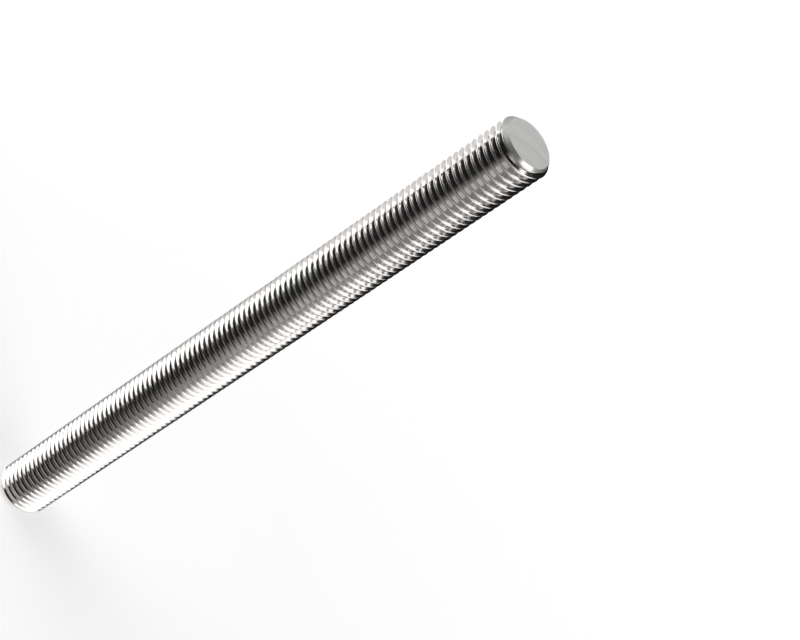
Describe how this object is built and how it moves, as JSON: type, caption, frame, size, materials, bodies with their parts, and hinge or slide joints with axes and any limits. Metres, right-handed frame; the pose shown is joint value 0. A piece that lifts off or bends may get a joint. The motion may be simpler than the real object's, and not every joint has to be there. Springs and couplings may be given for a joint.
{
  "type": "threaded rod",
  "caption": "Straight metal rod with a coarse right-hand metric thread along its whole length and a chamfered flat face at each end.",
  "frame": {"origin": "centre of the lower end face, on which the rod stands", "axes": "+Z along the rod's axis, up towards the other end face; the rod is round, so +X and +Y are any two directions across it"},
  "size_m": [0.016, 0.016, 0.2],
  "materials": {
    "steel": "bright rolled stainless steel, polished thread with sawn and brushed end faces"
  },
  "bodies": {
    "root": {"threaded_rod": "steel"}
  },
  "joints": []
}
